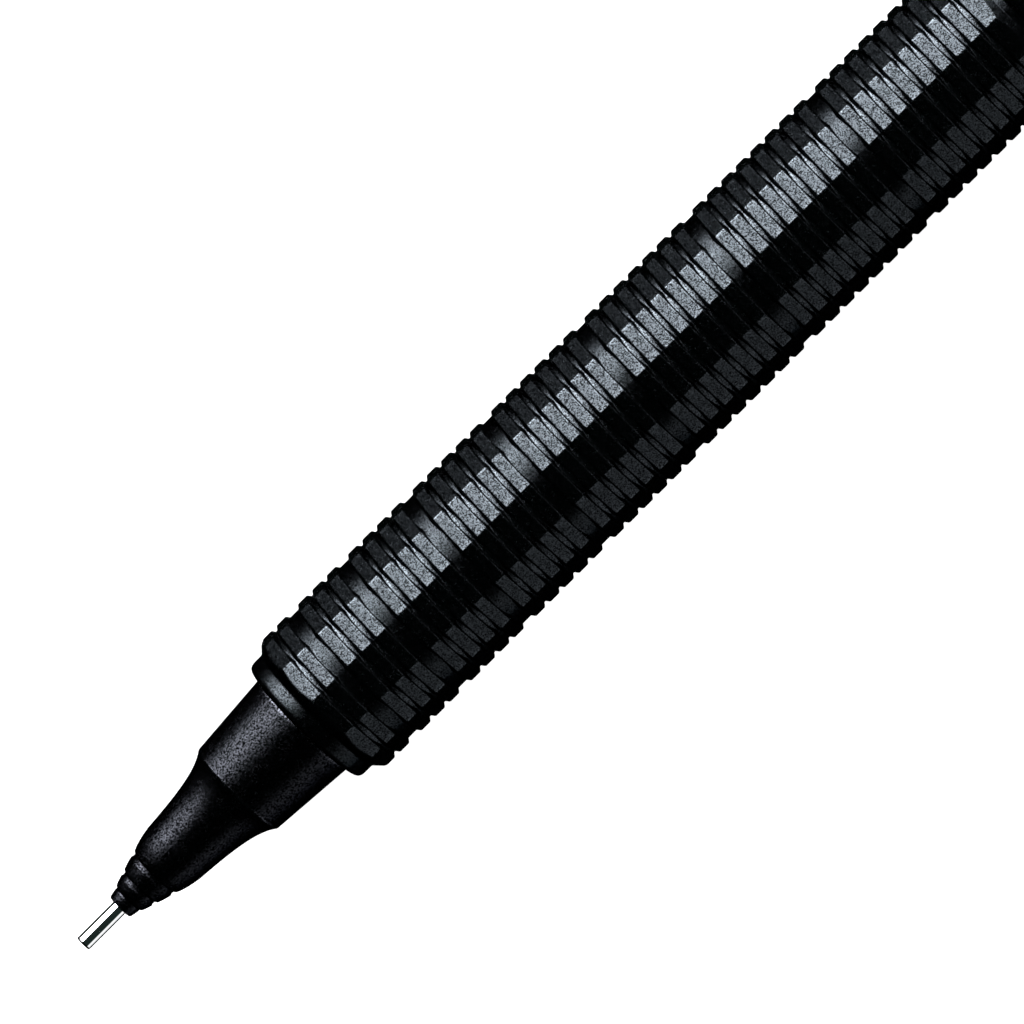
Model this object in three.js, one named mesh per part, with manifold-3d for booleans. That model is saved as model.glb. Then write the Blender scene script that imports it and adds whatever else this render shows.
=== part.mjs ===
// Drafting pencil for 0.5 mm leads: sliding guide pipe, ball clutch and a ribbed twelve-sided barrel.
//
// Millimetres, +Z up. The pencil lies along X with its point toward -X and rests on one barrel facet.
// A place along the pencil is a station: the distance from the front end of the guide pipe.
// A height or radius is measured from the pencil's axis. Holes are drawn around their circle and
// shafts inside it, so that the clearance between two radii is never less than their difference.

import * as THREE from 'three';
import { mergeVertices } from 'three/addons/utils/BufferGeometryUtils.js';
import Module from 'manifold-3d';

// ---------------------------------------------------------------- driving dimensions

const PENCIL_LENGTH = 143;

// Barrel: a round core that carries narrow twelve-sided ribs in groups of 2, 3, 4 ... 9
const BARREL_SIDES = 12;
const CORNER_RADIUS = 5.45;
const FACET_RADIUS = CORNER_RADIUS * Math.cos(Math.PI / BARREL_SIDES);
const CORE_RADIUS = 5.165;
const RIB_LAND = 0.78;
const RIB_SLOPE = 0.2;
const RIB_PITCH = 1.2455;
const GROUP_STEP = 1.85;
const RIB_GROUPS = [2, 3, 4, 5, 6, 7, 8, 9];
const FIRST_RIB = 20.99;
const LAST_RIB_REAR = 79.88;
const NECK = { rear: 81.11, radius: 4.95, chamfer: 0.4 };
const BARREL = { front: 19.23, rear: 127, bore: 3.7 };
const COLLAR = { rear: 20.38, radius: 4.78, frontRadius: 4.27, corner: 0.4, coneRear: 21.06 };
const FRONT_SEAT = { rear: 27.1, radius: 4.0 };
const REAR_SEAT = { front: 117.9, radius: 4.35 };

// Travels, and the room left in front of a piece at the end of its travel
const SLEEVE_TRAVEL = 3.1;
const KNOCK_TRAVEL = 3.0;
const STOP_ROOM = 0.2;

// Guide pipe and its slider
const LEAD_RADIUS = 0.28;
const LEAD_LENGTH = 60;
const LEAD_PASSAGE = 0.34;
const PIPE = { radius: 0.495, bore: LEAD_PASSAGE, rear: 9.0 };
const SLIDER = { front: 7.4, flangeRear: 8.5, rear: 11.3, flange: 1.58, stem: 1.05, pocket: 0.85 };
const RETAINER = { front: 9.35, rear: 10.9, radius: 0.8 };

// Nose: three stepped rings, a hollow flare, then a slightly tapered body with a threaded tail
const NOSE_RINGS = [
  { front: 3.23, rear: 3.96, frontRadius: 0.88, rearRadius: 0.98 },
  { front: 4.0, rear: 5.03, frontRadius: 1.1, rearRadius: 1.33 },
  { front: 5.08, rear: 6.31, frontRadius: 1.46, rearRadius: 1.71 },
];
const NOSE_SHOULDER = [[6.36, 1.85], [6.95, 2.12], [7.95, 2.24]];
const NOSE_FLARE = [[7.95, 2.24], [11.1, 2.46], [12.6, 2.75], [13.48, 3.39]];
const NOSE = { rear: 19.2, rearRadius: 3.84, tailRear: 26.4, tail: 3.4 };
const NOSE_BORES = { pipe: 0.56, slider: 1.65, sliderFront: 7.3, casing: 2.85, casingFront: 14.5 };

// Clutch and chuck
const CASING_FRONT = SLIDER.rear + SLEEVE_TRAVEL + STOP_ROOM;
const CASING = { front: CASING_FRONT, rear: 33.6, radius: 2.8, bore: 2.6, wall: 0.6 };
const CASING_STEP = { front: 24.2, rear: 24.9, bore: 1.4 };
const CLUTCH = { front: 18.2, rear: 23.8, radius: 2.52, raceFront: 2.16, raceRear: 1.88, bore: 1.75 };
const RACE_REAR = 21.4;
const JAW_FRONT = CASING.front + CASING.wall + KNOCK_TRAVEL + 2 * STOP_ROOM;
const JAW = { front: JAW_FRONT, headRear: 21.2, rear: 30.3, head: 1.55, stem: 1.15, gap: 0.12 };
const BALL = { station: 20.0, radius: 0.45, height: 1.5, clearance: 0.05 };
const CONNECTOR_FRONT = CASING_STEP.rear + KNOCK_TRAVEL + STOP_ROOM;
const CONNECTOR = { seatFront: 34.3, seatRear: 35.1, rear: 39.0, sleeve: 1.75, seat: 2.48 };
const CONNECTOR_BORES = { jaw: 1.3, jawRear: 30.5, lead: 0.6, funnel: 1.2 };
const TUBE = { front: 35.2, rear: 127, radius: 2.3, bore: 1.75 };
const SPARE_LEADS = { count: 3, front: 62, stagger: 1, spread: 0.6, wallGap: 0.12 };
const FRONT_BUSH = { front: 19.28, rear: 27.0, radius: 3.95, bore: 3.46 };

// Rear end: bush, clip, eraser and knock cap
const REAR_BUSH = { front: 118, rear: 131.6, thread: 4.3, bore: 2.95, flangeFront: 129.85, flange: 5.1 };
const CAP_WELL = { front: 124.3, radius: 3.75 };
const CLIP_RING = { front: 127.2, rear: 129.65, radius: 5.02, bore: 4.4 };
const CLIP = { width: 3.6, thickness: 0.6, rootFront: 127.15, rootRear: 129.6, tip: 90.2, top: 7.1 };
const CLIP_LIFT_GAP = 0.3;
const ERASER_HOLDER = { front: 122.6, rear: 137, radius: 2.75, skirtBore: 2.36, cupBore: 2.2 };
const HOLDER_STOP = { front: 127.1, rear: 127.9, bore: 1.75 };
const HOLDER_BEAD = { front: 132.6, rear: 133.4, radius: 2.88 };
const ERASER = { front: 131, rear: 139.6, radius: 2.12 };
const CAP = { front: 129, radius: 3.6, bore: 2.95, floor: 141.8, chamfer: 0.5 };
const CAP_GROOVES = { count: 3, first: 136.6, pitch: 1.3, width: 0.5, depth: 0.25 };

const FINE_SIDES = 24;
const INNER_SIDES = 16;
const SMALL_SIDES = 12;

// ---------------------------------------------------------------- materials

function finish(color, roughness, metalness) {
  return new THREE.MeshStandardMaterial({ color, roughness, metalness });
}

const resinBlack = finish(0x1c1d20, 0.55, 0.25);
const satinBlack = finish(0x17181b, 0.42, 0.6);
const chrome = finish(0xd8dadd, 0.12, 1);
const brass = finish(0xb8954f, 0.3, 1);
const steel = finish(0xa9adb2, 0.28, 1);
const rubber = finish(0x202020, 0.85, 0);
const clearPlastic = finish(0xd9dde0, 0.35, 0);
const graphite = finish(0x2b2c2e, 0.5, 0.1);
const eraserWhite = finish(0xe9e8e4, 0.9, 0);

// ---------------------------------------------------------------- solids

// A turned piece along X. outer runs from front to rear and inner from rear to front, both as
// [station, radius]. With no inner profile the piece is solid and closes on the axis.
function turned(outer, inner = [], sides = INNER_SIDES, firstAngle = 0) {
  const aroundCircle = 1 / Math.cos(Math.PI / sides);
  const points = outer.map(([station, radius]) => new THREE.Vector2(radius, station));
  const first = outer[0][0];
  const last = outer[outer.length - 1][0];
  if (inner.length === 0) {
    points.push(new THREE.Vector2(0, last));
    points.unshift(new THREE.Vector2(0, first));
  } else {
    inner.forEach(([station, radius]) => points.push(new THREE.Vector2(radius * aroundCircle, station)));
    points.push(points[0].clone());
  }
  const solid = new THREE.LatheGeometry(points, sides, firstAngle);
  solid.rotateZ(-Math.PI / 2);
  return solid;
}

function curvePoints(corners, steps) {
  const vectors = corners.map(([station, radius]) => new THREE.Vector2(station, radius));
  const curve = vectors.length === 3
    ? new THREE.QuadraticBezierCurve(...vectors)
    : new THREE.CubicBezierCurve(...vectors);
  return curve.getPoints(steps).map((point) => [point.x, point.y]);
}

class Helix extends THREE.Curve {
  constructor(front, rear, radius, turns) {
    super();
    Object.assign(this, { front, rear, radius, turns });
  }

  getPoint(fraction, target = new THREE.Vector3()) {
    const angle = fraction * this.turns * 2 * Math.PI;
    const station = this.front + fraction * (this.rear - this.front);
    return target.set(station, this.radius * Math.cos(angle), this.radius * Math.sin(angle));
  }
}

// A compression spring between two seats, with clearance at each end
function coilSpring(front, rear, radius, wire, turns) {
  const stepsPerTurn = 11;
  const wireSides = 6;
  const seatGap = 0.05;
  const section = [];
  for (let side = 0; side < wireSides; side += 1) {
    const angle = (side / wireSides) * 2 * Math.PI;
    section.push(new THREE.Vector2(0.5 * wire * Math.cos(angle), 0.5 * wire * Math.sin(angle)));
  }
  const inset = 0.5 * wire + seatGap;
  return new THREE.ExtrudeGeometry(new THREE.Shape(section), {
    steps: Math.round(turns * stepsPerTurn),
    extrudePath: new Helix(front + inset, rear - inset, radius, turns),
  });
}

const wasm = await Module();
wasm.setup();

function toManifold(geometry) {
  const bare = geometry.clone();
  bare.deleteAttribute('normal');
  bare.deleteAttribute('uv');
  const merged = mergeVertices(bare, 1e-4);
  const used = [];
  const index = merged.index.array;
  for (let corner = 0; corner < index.length; corner += 3) {
    const [a, b, c] = [index[corner], index[corner + 1], index[corner + 2]];
    if (a !== b && b !== c && a !== c) {
      used.push(a, b, c);
    }
  }
  return new wasm.Manifold(new wasm.Mesh({
    numProp: 3,
    vertProperties: new Float32Array(merged.attributes.position.array),
    triVerts: new Uint32Array(used),
  }));
}

function toGeometry(manifold) {
  const mesh = manifold.getMesh();
  const geometry = new THREE.BufferGeometry();
  geometry.setAttribute('position', new THREE.BufferAttribute(mesh.vertProperties, 3));
  geometry.setIndex(new THREE.BufferAttribute(mesh.triVerts, 1));
  geometry.computeVertexNormals();
  return geometry;
}

// ---------------------------------------------------------------- point

function guidePipe() {
  return turned([[0, PIPE.radius], [PIPE.rear, PIPE.radius]],
    [[PIPE.rear, PIPE.bore], [0, PIPE.bore]], SMALL_SIDES);
}

function slider() {
  const pipeSeat = PIPE.radius + 0.04;
  const pocketFront = RETAINER.front - 0.05;
  return turned(
    [[SLIDER.front, SLIDER.flange], [SLIDER.flangeRear, SLIDER.flange],
      [SLIDER.flangeRear, SLIDER.stem], [SLIDER.rear, SLIDER.stem]],
    [[SLIDER.rear, SLIDER.pocket], [pocketFront, SLIDER.pocket], [pocketFront, LEAD_PASSAGE],
      [PIPE.rear + 0.05, LEAD_PASSAGE], [PIPE.rear + 0.05, pipeSeat], [SLIDER.front, pipeSeat]]);
}

function leadRetainer() {
  return turned([[RETAINER.front, RETAINER.radius], [RETAINER.rear, RETAINER.radius]],
    [[RETAINER.rear, LEAD_PASSAGE], [RETAINER.front, LEAD_PASSAGE]], SMALL_SIDES);
}

function noseCone() {
  const rings = NOSE_RINGS.flatMap((ring) => [[ring.front, ring.frontRadius], [ring.rear, ring.rearRadius]]);
  const outer = [
    ...rings,
    ...curvePoints(NOSE_SHOULDER, 3),
    ...curvePoints(NOSE_FLARE, 7).slice(1),
    [NOSE.rear, NOSE.rearRadius],
    [NOSE.rear, NOSE.tail],
    [NOSE.tailRear, NOSE.tail],
  ];
  const bores = NOSE_BORES;
  return turned(outer, [
    [NOSE.tailRear, bores.casing], [bores.casingFront, bores.casing],
    [bores.casingFront, bores.slider], [bores.sliderFront, bores.slider],
    [bores.sliderFront, bores.pipe], [NOSE_RINGS[0].front, bores.pipe],
  ], FINE_SIDES);
}

// ---------------------------------------------------------------- clutch and chuck

// Tube that holds the clutch in front of its inner step and the main spring behind it
function clutchCasing() {
  const wallRear = CASING.front + CASING.wall;
  return turned([[CASING.front, CASING.radius], [CASING.rear, CASING.radius]], [
    [CASING.rear, CASING.bore], [CASING_STEP.rear, CASING.bore],
    [CASING_STEP.rear, CASING_STEP.bore], [CASING_STEP.front, CASING_STEP.bore],
    [CASING_STEP.front, CASING.bore], [wallRear, CASING.bore],
    [wallRear, SLIDER.stem], [CASING.front, SLIDER.stem],
  ]);
}

// Ring whose tapered race widens toward the point, so that the balls lock when the lead is pushed in
function clutchSleeve() {
  return turned([[CLUTCH.front, CLUTCH.radius], [CLUTCH.rear, CLUTCH.radius]], [
    [CLUTCH.rear, CLUTCH.bore], [RACE_REAR, CLUTCH.bore],
    [RACE_REAR, CLUTCH.raceRear], [CLUTCH.front, CLUTCH.raceFront],
  ]);
}

function ball(side, radius = BALL.radius) {
  const sphere = new THREE.SphereGeometry(radius, SMALL_SIDES, SMALL_SIDES / 2);
  sphere.translate(BALL.station, 0, side * BALL.height);
  return sphere;
}

// Half of the split chuck, with a pocket for its ball; side is +1 above the split and -1 below it
function chuckJaw(side) {
  const chuck = turned([[JAW.front, JAW.head], [JAW.headRear, JAW.head],
    [JAW.headRear, JAW.stem], [JAW.rear, JAW.stem]],
  [[JAW.rear, LEAD_PASSAGE], [JAW.front, LEAD_PASSAGE]]);
  const reach = 2 * JAW.head;
  const half = new THREE.BoxGeometry(2 * (JAW.rear - JAW.front), 2 * reach, reach);
  half.translate(JAW.front, 0, side * 0.5 * (reach + JAW.gap));
  const pocket = toManifold(ball(side, BALL.radius + BALL.clearance));
  return toGeometry(toManifold(chuck).intersect(toManifold(half)).subtract(pocket));
}

// Joins the chuck to the lead tube; its flange is the main spring's rear seat
function tubeConnector() {
  const spigot = TUBE.bore - 0.05;
  return turned([
    [CONNECTOR_FRONT, CONNECTOR.sleeve], [CONNECTOR.seatFront, CONNECTOR.sleeve],
    [CONNECTOR.seatFront, CONNECTOR.seat], [CONNECTOR.seatRear, CONNECTOR.seat],
    [CONNECTOR.seatRear, spigot], [CONNECTOR.rear, spigot],
  ], [
    [CONNECTOR.rear, CONNECTOR_BORES.funnel], [CONNECTOR.rear - 1, CONNECTOR_BORES.lead],
    [CONNECTOR_BORES.jawRear, CONNECTOR_BORES.lead], [CONNECTOR_BORES.jawRear, CONNECTOR_BORES.jaw],
    [CONNECTOR_FRONT, CONNECTOR_BORES.jaw],
  ]);
}

function leadTube() {
  return turned([[TUBE.front, TUBE.radius], [TUBE.rear, TUBE.radius]],
    [[TUBE.rear, TUBE.bore], [TUBE.front, TUBE.bore]]);
}

function lead(front, sideways, height) {
  const stick = turned([[front, LEAD_RADIUS], [front + LEAD_LENGTH, LEAD_RADIUS]], [], SMALL_SIDES);
  stick.translate(0, sideways, height);
  return stick;
}

// ---------------------------------------------------------------- barrel

function frontBush() {
  return turned([[FRONT_BUSH.front, FRONT_BUSH.radius], [FRONT_BUSH.rear, FRONT_BUSH.radius]],
    [[FRONT_BUSH.rear, FRONT_BUSH.bore], [FRONT_BUSH.front, FRONT_BUSH.bore]], FINE_SIDES);
}

function ribFronts() {
  const fronts = [];
  let station = FIRST_RIB;
  RIB_GROUPS.forEach((count) => {
    for (let rib = 0; rib < count; rib += 1) {
      fronts.push(station + rib * RIB_PITCH);
    }
    station += (count - 1) * RIB_PITCH + GROUP_STEP;
  });
  return fronts;
}

function barrel() {
  const collar = [
    [BARREL.front, COLLAR.frontRadius],
    [BARREL.front + 0.3 * COLLAR.corner, COLLAR.frontRadius + 0.6 * COLLAR.corner],
    [BARREL.front + COLLAR.corner, COLLAR.radius],
    [COLLAR.rear, COLLAR.radius],
    [COLLAR.coneRear, CORNER_RADIUS],
  ];
  const ribs = ribFronts().flatMap((front) => [
    [front - RIB_SLOPE, CORE_RADIUS],
    [front, CORNER_RADIUS],
    [front + RIB_LAND, CORNER_RADIUS],
    [front + RIB_LAND + RIB_SLOPE, CORE_RADIUS],
  ]);
  const outer = [
    ...collar,
    ...ribs.slice(2, -2),
    [LAST_RIB_REAR, CORNER_RADIUS],
    [LAST_RIB_REAR + NECK.chamfer, NECK.radius],
    [NECK.rear - NECK.chamfer, NECK.radius],
    [NECK.rear, CORNER_RADIUS],
    [BARREL.rear, CORNER_RADIUS],
  ];
  return turned(outer, [
    [BARREL.rear, REAR_SEAT.radius], [REAR_SEAT.front, REAR_SEAT.radius],
    [REAR_SEAT.front, BARREL.bore], [FRONT_SEAT.rear, BARREL.bore],
    [FRONT_SEAT.rear, FRONT_SEAT.radius], [BARREL.front, FRONT_SEAT.radius],
  ], BARREL_SIDES, Math.PI / BARREL_SIDES);
}

// ---------------------------------------------------------------- rear end

// Screws into the barrel, traps the clip ring under its flange and guides the knock cap
function rearBush() {
  const { front, rear, thread, bore, flangeFront, flange } = REAR_BUSH;
  return turned([
    [front, thread], [flangeFront, thread], [flangeFront, flange],
    [rear - 0.3, flange], [rear, flange - 0.3],
  ], [
    [rear, CAP_WELL.radius], [CAP_WELL.front, CAP_WELL.radius],
    [CAP_WELL.front, bore], [front, bore],
  ], FINE_SIDES);
}

function clipRing() {
  return turned([[CLIP_RING.front, CLIP_RING.radius], [CLIP_RING.rear, CLIP_RING.radius]],
    [[CLIP_RING.rear, CLIP_RING.bore], [CLIP_RING.front, CLIP_RING.bore]], FINE_SIDES);
}

// Bent strip over the top facet: a block on the ring, a long arm, a rounded foot and a raised tip
function clipArm() {
  const { width, thickness, rootFront, rootRear, tip, top } = CLIP;
  const ringTop = CLIP_RING.radius + 0.1;
  const armTop = top - 0.35;
  const footBottom = FACET_RADIUS + CLIP_LIFT_GAP;
  const foot = tip + 3.2;
  const bend = 3.4;
  const outline = new THREE.Shape();
  outline.moveTo(rootRear, ringTop);
  outline.lineTo(rootRear, top - 0.5);
  outline.quadraticCurveTo(rootRear, top, rootRear - 0.5, top);
  outline.lineTo(foot + bend, armTop);
  outline.quadraticCurveTo(foot + 0.5 * bend, armTop, foot, footBottom + thickness);
  outline.lineTo(tip, armTop);
  outline.lineTo(tip - 0.2, armTop - thickness);
  outline.quadraticCurveTo(foot - 0.4 * bend, footBottom, foot, footBottom);
  outline.quadraticCurveTo(foot + 0.5 * bend, footBottom, foot + bend, armTop - thickness);
  outline.lineTo(rootFront, top - thickness);
  outline.lineTo(rootFront, ringTop);
  const arm = new THREE.ExtrudeGeometry(outline, { depth: width, bevelEnabled: false, curveSegments: 6 });
  arm.rotateX(Math.PI / 2);
  arm.translate(0, 0.5 * width, 0);
  return arm;
}

// Tube that plugs the lead tube's rear end, with a bead that the knock cap snaps over
function eraserHolder() {
  const { front, rear, radius, skirtBore, cupBore } = ERASER_HOLDER;
  return turned([
    [front, radius], [HOLDER_BEAD.front, radius], [HOLDER_BEAD.front + 0.2, HOLDER_BEAD.radius],
    [HOLDER_BEAD.rear - 0.2, HOLDER_BEAD.radius], [HOLDER_BEAD.rear, radius], [rear, radius],
  ], [
    [rear, cupBore], [HOLDER_STOP.rear, cupBore], [HOLDER_STOP.rear, HOLDER_STOP.bore],
    [HOLDER_STOP.front, HOLDER_STOP.bore], [HOLDER_STOP.front, skirtBore], [front, skirtBore],
  ]);
}

function eraser() {
  const edge = 0.25;
  return turned([[ERASER.front, ERASER.radius], [ERASER.rear - edge, ERASER.radius],
    [ERASER.rear, ERASER.radius - edge]]);
}

function knockCap() {
  const grooves = [];
  for (let groove = 0; groove < CAP_GROOVES.count; groove += 1) {
    const front = CAP_GROOVES.first + groove * CAP_GROOVES.pitch;
    const floor = CAP.radius - CAP_GROOVES.depth;
    grooves.push([front, CAP.radius], [front, floor]);
    grooves.push([front + CAP_GROOVES.width, floor], [front + CAP_GROOVES.width, CAP.radius]);
  }
  return turned([
    [CAP.front, CAP.radius], ...grooves,
    [PENCIL_LENGTH - CAP.chamfer, CAP.radius], [PENCIL_LENGTH, CAP.radius - CAP.chamfer],
    [PENCIL_LENGTH, 0],
  ], [[CAP.floor, 0], [CAP.floor, CAP.bore], [CAP.front, CAP.bore]], FINE_SIDES);
}

// ---------------------------------------------------------------- assembly

function named(name, geometry, material) {
  const mesh = new THREE.Mesh(geometry, material);
  mesh.name = name;
  return mesh;
}

const slidingPoint = new THREE.Group();
slidingPoint.add(
  named('guide_pipe', guidePipe(), chrome),
  named('slider', slider(), brass),
  named('lead_retainer', leadRetainer(), rubber),
);

const clutch = new THREE.Group();
clutch.add(
  named('clutch_casing', clutchCasing(), brass),
  named('clutch_sleeve', clutchSleeve(), steel),
  named('clutch_ball_upper', ball(1), steel),
  named('clutch_ball_lower', ball(-1), steel),
  named('chuck_jaw_upper', chuckJaw(1), brass),
  named('chuck_jaw_lower', chuckJaw(-1), brass),
);

const springs = new THREE.Group();
springs.add(
  named('slider_spring', coilSpring(SLIDER.flangeRear, CASING.front, 1.34, 0.2, 9), steel),
  named('clutch_spring', coilSpring(CASING.front + CASING.wall, CLUTCH.front, 2.2, 0.3, 4), steel),
  named('main_spring', coilSpring(CASING_STEP.rear, CONNECTOR.seatFront, 2.15, 0.35, 8), steel),
);

const leadStore = new THREE.Group();
leadStore.add(
  named('tube_connector', tubeConnector(), brass),
  named('lead_tube', leadTube(), clearPlastic),
  named('lead_in_use', lead(0.1, 0, 0), graphite),
);
for (let spare = 0; spare < SPARE_LEADS.count; spare += 1) {
  const angle = -0.5 * Math.PI + (spare - 1) * SPARE_LEADS.spread;
  const offset = TUBE.bore - LEAD_RADIUS - SPARE_LEADS.wallGap;
  const front = SPARE_LEADS.front + spare * SPARE_LEADS.stagger;
  const stick = lead(front, offset * Math.cos(angle), offset * Math.sin(angle));
  leadStore.add(named(`spare_lead_${spare + 1}`, stick, graphite));
}

const body = new THREE.Group();
body.add(
  named('nose_cone', noseCone(), satinBlack),
  named('front_bush', frontBush(), brass),
  named('barrel', barrel(), resinBlack),
  named('rear_bush', rearBush(), satinBlack),
  named('clip_ring', clipRing(), satinBlack),
  named('clip_arm', clipArm(), satinBlack),
);

const knock = new THREE.Group();
knock.add(
  named('eraser_holder', eraserHolder(), steel),
  named('eraser', eraser(), eraserWhite),
  named('knock_cap', knockCap(), satinBlack),
);

const pencil = new THREE.Group();
pencil.add(slidingPoint, clutch, springs, leadStore, body, knock);
pencil.position.set(-0.5 * PENCIL_LENGTH, 0, FACET_RADIUS);

export default pencil;
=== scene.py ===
"""The looks of a 0.5 mm drafting pencil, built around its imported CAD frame.

A place along the pencil is a station, in millimetres behind the guide pipe's front end. A radius is
in millimetres from the pencil's axis, and an angle is in degrees from +Z toward the near side, -Y.
"""

import math

import bmesh
import bpy
from mathutils import Matrix, Vector


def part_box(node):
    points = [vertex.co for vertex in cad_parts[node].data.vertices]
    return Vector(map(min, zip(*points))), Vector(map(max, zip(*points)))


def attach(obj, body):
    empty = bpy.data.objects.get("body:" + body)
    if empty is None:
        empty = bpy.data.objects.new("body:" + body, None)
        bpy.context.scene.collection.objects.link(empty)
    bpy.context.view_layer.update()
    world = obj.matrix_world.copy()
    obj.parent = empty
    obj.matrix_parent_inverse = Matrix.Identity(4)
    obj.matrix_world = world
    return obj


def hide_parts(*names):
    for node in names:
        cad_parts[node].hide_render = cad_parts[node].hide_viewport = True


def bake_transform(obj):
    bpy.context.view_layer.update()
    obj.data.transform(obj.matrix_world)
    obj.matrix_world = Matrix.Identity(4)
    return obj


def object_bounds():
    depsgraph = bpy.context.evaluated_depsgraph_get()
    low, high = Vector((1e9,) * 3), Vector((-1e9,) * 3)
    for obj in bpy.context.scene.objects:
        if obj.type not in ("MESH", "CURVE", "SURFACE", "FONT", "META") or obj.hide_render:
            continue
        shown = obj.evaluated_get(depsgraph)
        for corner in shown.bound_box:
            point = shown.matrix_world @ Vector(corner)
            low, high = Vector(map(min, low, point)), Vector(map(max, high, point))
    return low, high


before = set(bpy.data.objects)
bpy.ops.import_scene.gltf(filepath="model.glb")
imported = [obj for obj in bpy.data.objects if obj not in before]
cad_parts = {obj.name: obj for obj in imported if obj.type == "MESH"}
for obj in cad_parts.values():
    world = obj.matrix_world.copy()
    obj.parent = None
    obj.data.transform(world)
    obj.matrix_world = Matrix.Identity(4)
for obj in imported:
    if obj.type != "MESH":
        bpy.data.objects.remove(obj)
cad_box = [list(corner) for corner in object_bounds()]

# ---------------------------------------------------------------- places taken from the frame

MM = 0.001
BARREL_LOW, BARREL_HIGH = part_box("barrel")
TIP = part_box("guide_pipe")[0][0]
AXIS_Z = 0.5 * (BARREL_LOW[2] + BARREL_HIGH[2])
FLOOR_Z = cad_box[0][2]
LENGTH = (cad_box[1][0] - cad_box[0][0]) / MM


def ends_of(node):
    """The stations of a node's front and rear end."""
    low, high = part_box(node)
    return (low[0] - TIP) / MM, (high[0] - TIP) / MM


def place(station, radius, angle):
    """The point in metres at a station, a radius and an angle."""
    turn = math.radians(angle)
    return Vector((TIP + station * MM, -radius * math.sin(turn) * MM, AXIS_Z + radius * math.cos(turn) * MM))


# ---------------------------------------------------------------- barrel and nose dimensions

SIDES = 12
HALF_FACET = 180 / SIDES
FACET_RADIUS = 0.5 * (BARREL_HIGH[2] - BARREL_LOW[2]) / MM
CORE_RADIUS = 5.165
CORNER_ROUND = 0.2

RIB_LAND = 0.78
RIB_PITCH = 1.2455
RIB_SLOPE = math.tan(math.radians(54))
RIB_GROUPS = range(2, 10)
GROUP_STEP = 1.85
FIRST_RIB = 20.99
LAST_RIB = {"rear": 79.88, "slope": 0.85}

COLLAR = {"rear": 20.38, "radius": 4.78, "front_radius": 4.27, "corner": 0.5}
CONE_SLOPE = math.tan(math.radians(46))
NECK = {"front": 80.27, "rear": 80.71, "radius": 4.95, "slope": 1.2}
BARREL_END = {"radius": 5.14, "face_radius": 5.08}
BARREL_BORE = 3.7
FRONT_SEAT = {"rear": 27.1, "radius": 4.0}
REAR_SEAT = {"front": 117.9, "radius": 4.35}

FLARE = [(7.95, 2.24), (11.1, 2.46), (12.6, 2.75), (13.48, 3.395)]
NOSE = {"rear": 19.17, "rear_radius": 3.845, "tail_radius": 3.4}
NOSE_BORES = {"pipe": 0.58, "slider": 1.68, "slider_front": 7.3, "casing": 2.87, "casing_front": 14.5}

# ---------------------------------------------------------------- meshes


def add_object(name, data):
    made = bpy.data.objects.new(name, data)
    bpy.context.scene.collection.objects.link(made)
    return made


def smooth_mesh(name, vertices, faces):
    """A smooth-shaded object whose large faces stay flat between small rounded edges.

    Each vertex normal is the mean of its faces' normals, weighted by the square of their areas.
    """
    mesh = bpy.data.meshes.new(name)
    mesh.from_pydata(vertices, [], faces)
    mesh.validate()
    mesh.shade_smooth()
    normals = [Vector((0, 0, 0)) for _ in mesh.vertices]
    for face in mesh.polygons:
        area = face.area / MM ** 2
        for vertex in face.vertices:
            normals[vertex] += face.normal * area ** 2
    mesh.normals_split_custom_set_from_vertices([normal.normalized() for normal in normals])
    return add_object(name, mesh)


def bezier(controls, steps):
    """Points on the Bezier curve of three or four control points, both ends among them."""
    degree = len(controls) - 1
    points = []
    for step in range(steps + 1):
        t = step / steps
        weights = [math.comb(degree, i) * t ** i * (1 - t) ** (degree - i) for i in range(degree + 1)]
        points.append(tuple(
            sum(weight * point[axis] for weight, point in zip(weights, controls))
            for axis in (0, 1)
        ))
    return points


def softened(outline, closed, steps=3):
    """An outline whose corners (station, radius, soft) are rounded over soft millimetres each way."""
    longest_share = 0.45
    result = []
    count = len(outline)
    for i, corner in enumerate(outline):
        point = corner[:2]
        soft = corner[2] if len(corner) > 2 else 0
        if soft == 0 or (not closed and i in (0, count - 1)):
            result.append(point)
            continue
        before = Vector(outline[i - 1][:2]) - Vector(point)
        after = Vector(outline[(i + 1) % count][:2]) - Vector(point)
        reach_in = min(soft, longest_share * before.length)
        reach_out = min(soft, longest_share * after.length)
        start = Vector(point) + before.normalized() * reach_in
        end = Vector(point) + after.normalized() * reach_out
        result.extend(bezier([tuple(start), point, tuple(end)], steps))
    return result


def turned(name, outer, inner=(), sides=96):
    """A turned piece: outer runs from front to rear, inner from rear to front, as (station, radius, soft).

    With no inner outline the piece is solid, and both ends close on the axis.
    """
    hollow = len(inner) > 0
    outline = list(outer) + list(inner)
    if not hollow:
        outline = [(outer[0][0], 0)] + outline + [(outer[-1][0], 0)]
    points = softened(outline, closed=hollow)
    vertices = []
    rows = []
    for station, radius in points:
        if radius < 1e-6:
            rows.append([len(vertices)] * sides)
            vertices.append(place(station, 0, 0))
        else:
            rows.append([len(vertices) + side for side in range(sides)])
            vertices.extend(place(station, radius, 360 * side / sides) for side in range(sides))
    return smooth_mesh(name, vertices, band_faces(rows, hollow))


def band_faces(rows, closed):
    """Quads between neighbouring rows of vertex numbers, with triangles where a row is one point."""
    faces = []
    pairs = list(zip(rows, rows[1:]))
    if closed:
        pairs.append((rows[-1], rows[0]))
    for near, far in pairs:
        for side in range(len(near)):
            following = (side + 1) % len(near)
            corners = [near[side], near[following], far[following], far[side]]
            face = list(dict.fromkeys(corners))
            if len(face) > 2:
                faces.append(face)
    return faces


def capped_faces(rows):
    """Faces of a solid tube of rows, with a face over each of its ends."""
    return band_faces(rows, False) + [rows[0][::-1], rows[-1]]


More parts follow.
